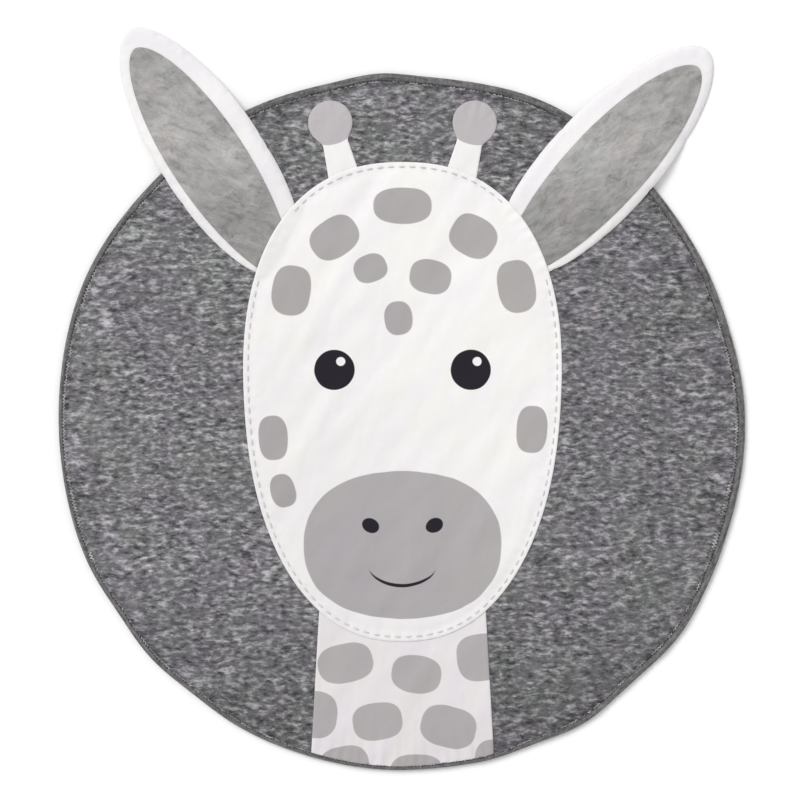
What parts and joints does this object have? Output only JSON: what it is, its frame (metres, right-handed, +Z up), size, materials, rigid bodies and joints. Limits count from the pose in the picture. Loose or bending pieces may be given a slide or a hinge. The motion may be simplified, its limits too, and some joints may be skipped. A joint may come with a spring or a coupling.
{
  "type": "round padded play mat",
  "caption": "Round padded cloth mat with a bound rim, a sewn animal face and two stuffed ears that lie over the rim, for a child to lie and play on.",
  "frame": {"origin": "middle of the mat's flat underside, on the surface that it lies on", "axes": "+Z up out of the mat's face, +Y towards the ears, +X to the right of the face as seen from above"},
  "size_m": [0.99, 1.0714, 0.0351],
  "materials": {
    "heather_cloth": "soft heather grey knit, matt",
    "binding_cloth": "smooth dark grey band, slight sheen",
    "white_cotton": "plain woven cotton, matt",
    "lining_cloth": "mottled light grey cotton, matt"
  },
  "bodies": {
    "root": {"mat_body": "heather_cloth", "edge_binding": "binding_cloth", "neck_panel": "white_cotton", "horn_left": "white_cotton", "horn_right": "white_cotton", "ear_left": "white_cotton", "ear_right": "white_cotton", "ear_lining_left": "lining_cloth", "ear_lining_right": "lining_cloth", "head_panel": "white_cotton"}
  },
  "joints": []
}
